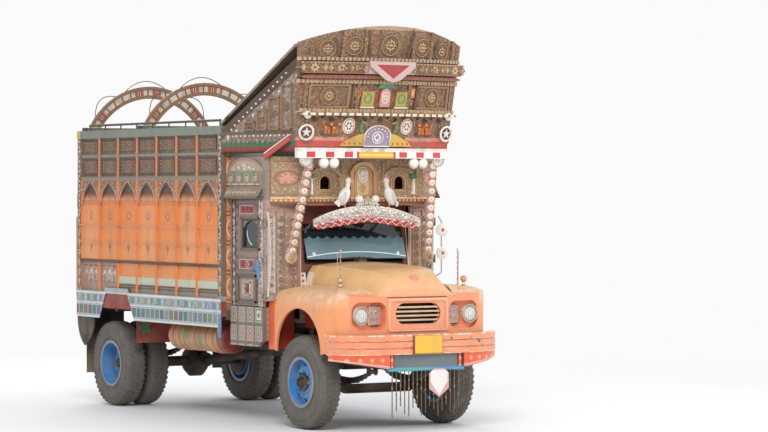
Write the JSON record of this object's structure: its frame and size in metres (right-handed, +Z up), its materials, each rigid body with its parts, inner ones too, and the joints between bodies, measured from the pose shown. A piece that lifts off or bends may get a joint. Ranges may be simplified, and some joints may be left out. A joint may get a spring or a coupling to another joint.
{
  "type": "decorated truck",
  "caption": "Bonneted two-axle cargo truck with tall carved crown over the cab, painted timber load body, opening doors, bonnet and tailgate, and steered wheels.",
  "frame": {"origin": "on the ground under the middle of the truck's box, at the tyres' contact level", "axes": "+X to the truck's left, +Y towards the tailgate, +Z up; the bonnet points to -Y"},
  "size_m": [2.44, 6.135, 4.3749],
  "materials": {
    "body_paint": "satin, dusty",
    "timber_paint": "painted and carved, weathered",
    "chassis_paint": "matt, dirty",
    "castings": "rough",
    "rim_paint": "satin, dusty",
    "tyre": "dusty",
    "glass": "clear",
    "bright_metal": "embossed sheet",
    "lamp": "glossy",
    "seat_cover": "worn",
    "black_plastic": "matt"
  },
  "bodies": {
    "truck": {"wings": "body_paint", "nose_panel": "body_paint", "bumper": "body_paint", "bumper_skirts": "body_paint", "cab_shell": "body_paint", "body_skirts": "body_paint", "plates": "body_paint", "door_canopies": "body_paint", "bed_floor": "timber_paint", "side_walls": "timber_paint", "end_boards": "timber_paint", "hoops": "timber_paint", "crown_front": "timber_paint", "crown_boards": "timber_paint", "crown_sides": "timber_paint", "crown_roof": "timber_paint", "forehead": "timber_paint", "chassis_frame": "chassis_paint", "leaf_springs": "chassis_paint", "radiator": "chassis_paint", "exhaust": "chassis_paint", "side_tanks": "chassis_paint", "rear_guards": "chassis_paint", "prop_shaft": "chassis_paint", "engine_block": "castings", "front_axle": "castings", "rear_axle": "castings", "windscreen": "glass", "grille": "bright_metal", "visor": "bright_metal", "front_fringe": "bright_metal", "garlands": "bright_metal", "headlamps": "lamp", "wing_lamps": "lamp", "crown_lamps": "lamp", "seat": "seat_cover", "dashboard": "black_plastic"},
    "knuckle_right": {"knuckle_right": "castings"},
    "knuckle_left": {"knuckle_left": "castings"},
    "tie_rod": {"tie_rod": "castings"},
    "steering_wheel": {"steering_wheel": "black_plastic"},
    "wheel_front_right": {"rim_front_right": "rim_paint", "tyre_front_right": "tyre"},
    "wheel_front_left": {"rim_front_left": "rim_paint", "tyre_front_left": "tyre"},
    "wheel_rear_right": {"rims_rear_right": "rim_paint", "tyres_rear_right": "tyre"},
    "wheel_rear_left": {"rims_rear_left": "rim_paint", "tyres_rear_left": "tyre"},
    "door_right": {"door_right": "body_paint", "door_glass_right": "glass"},
    "door_left": {"door_left": "body_paint", "door_glass_left": "glass"},
    "bonnet": {"bonnet": "body_paint"},
    "tailgate": {"tailgate": "timber_paint"}
  },
  "joints": [
    {"name": "steer_right", "type": "hinge", "parent": "truck", "child": "knuckle_right", "pos_m": [-0.68, -2.0125, 0.509], "axis": [0, 0, 1], "range_deg": [-33, 33]},
    {"name": "steer_left", "type": "hinge", "parent": "truck", "child": "knuckle_left", "pos_m": [0.68, -2.0125, 0.509], "axis": [0, 0, 1], "range_deg": [-33, 33]},
    {"name": "tie_rod_swing", "type": "hinge", "parent": "knuckle_right", "child": "tie_rod", "pos_m": [-0.68, -1.8425, 0.443], "axis": [0, 0, 1], "range_deg": [-33, 33]},
    {"name": "steering_wheel_turn", "type": "hinge", "parent": "truck", "child": "steering_wheel", "pos_m": [-0.42, -1.1825, 1.79], "axis": [0, 0.6157, 0.788], "range_deg": [-660, 660]},
    {"name": "wheel_front_right_spin", "type": "hinge", "parent": "knuckle_right", "child": "wheel_front_right", "pos_m": [-0.855, -2.0125, 0.509], "axis": [1, 0, 0], "continuous": true},
    {"name": "wheel_front_left_spin", "type": "hinge", "parent": "knuckle_left", "child": "wheel_front_left", "pos_m": [0.855, -2.0125, 0.509], "axis": [1, 0, 0], "continuous": true},
    {"name": "wheel_rear_right_spin", "type": "hinge", "parent": "truck", "child": "wheel_rear_right", "pos_m": [-0.88, 2.2295, 0.509], "axis": [1, 0, 0], "continuous": true},
    {"name": "wheel_rear_left_spin", "type": "hinge", "parent": "truck", "child": "wheel_rear_left", "pos_m": [0.88, 2.2295, 0.509], "axis": [1, 0, 0], "continuous": true},
    {"name": "door_right_open", "type": "hinge", "parent": "truck", "child": "door_right", "pos_m": [-1.114, -1.4305, 1.9], "axis": [0, 0, 1], "range_deg": [0, 70]},
    {"name": "door_left_open", "type": "hinge", "parent": "truck", "child": "door_left", "pos_m": [1.114, -1.4305, 1.9], "axis": [0, 0, -1], "range_deg": [0, 70]},
    {"name": "bonnet_open", "type": "hinge", "parent": "truck", "child": "bonnet", "pos_m": [0, -1.6785, 1.815], "axis": [-1, 0, 0], "range_deg": [0, 40]},
    {"name": "tailgate_drop", "type": "hinge", "parent": "truck", "child": "tailgate", "pos_m": [0, 3.0435, 1.28], "axis": [-1, 0, 0], "range_deg": [0, 170]}
  ],
  "couplings": [
    {"joint": "steer_left", "follows": "steer_right", "ratio": 1},
    {"joint": "tie_rod_swing", "follows": "steer_right", "ratio": -1},
    {"joint": "steering_wheel_turn", "follows": "steer_right", "ratio": 20}
  ]
}
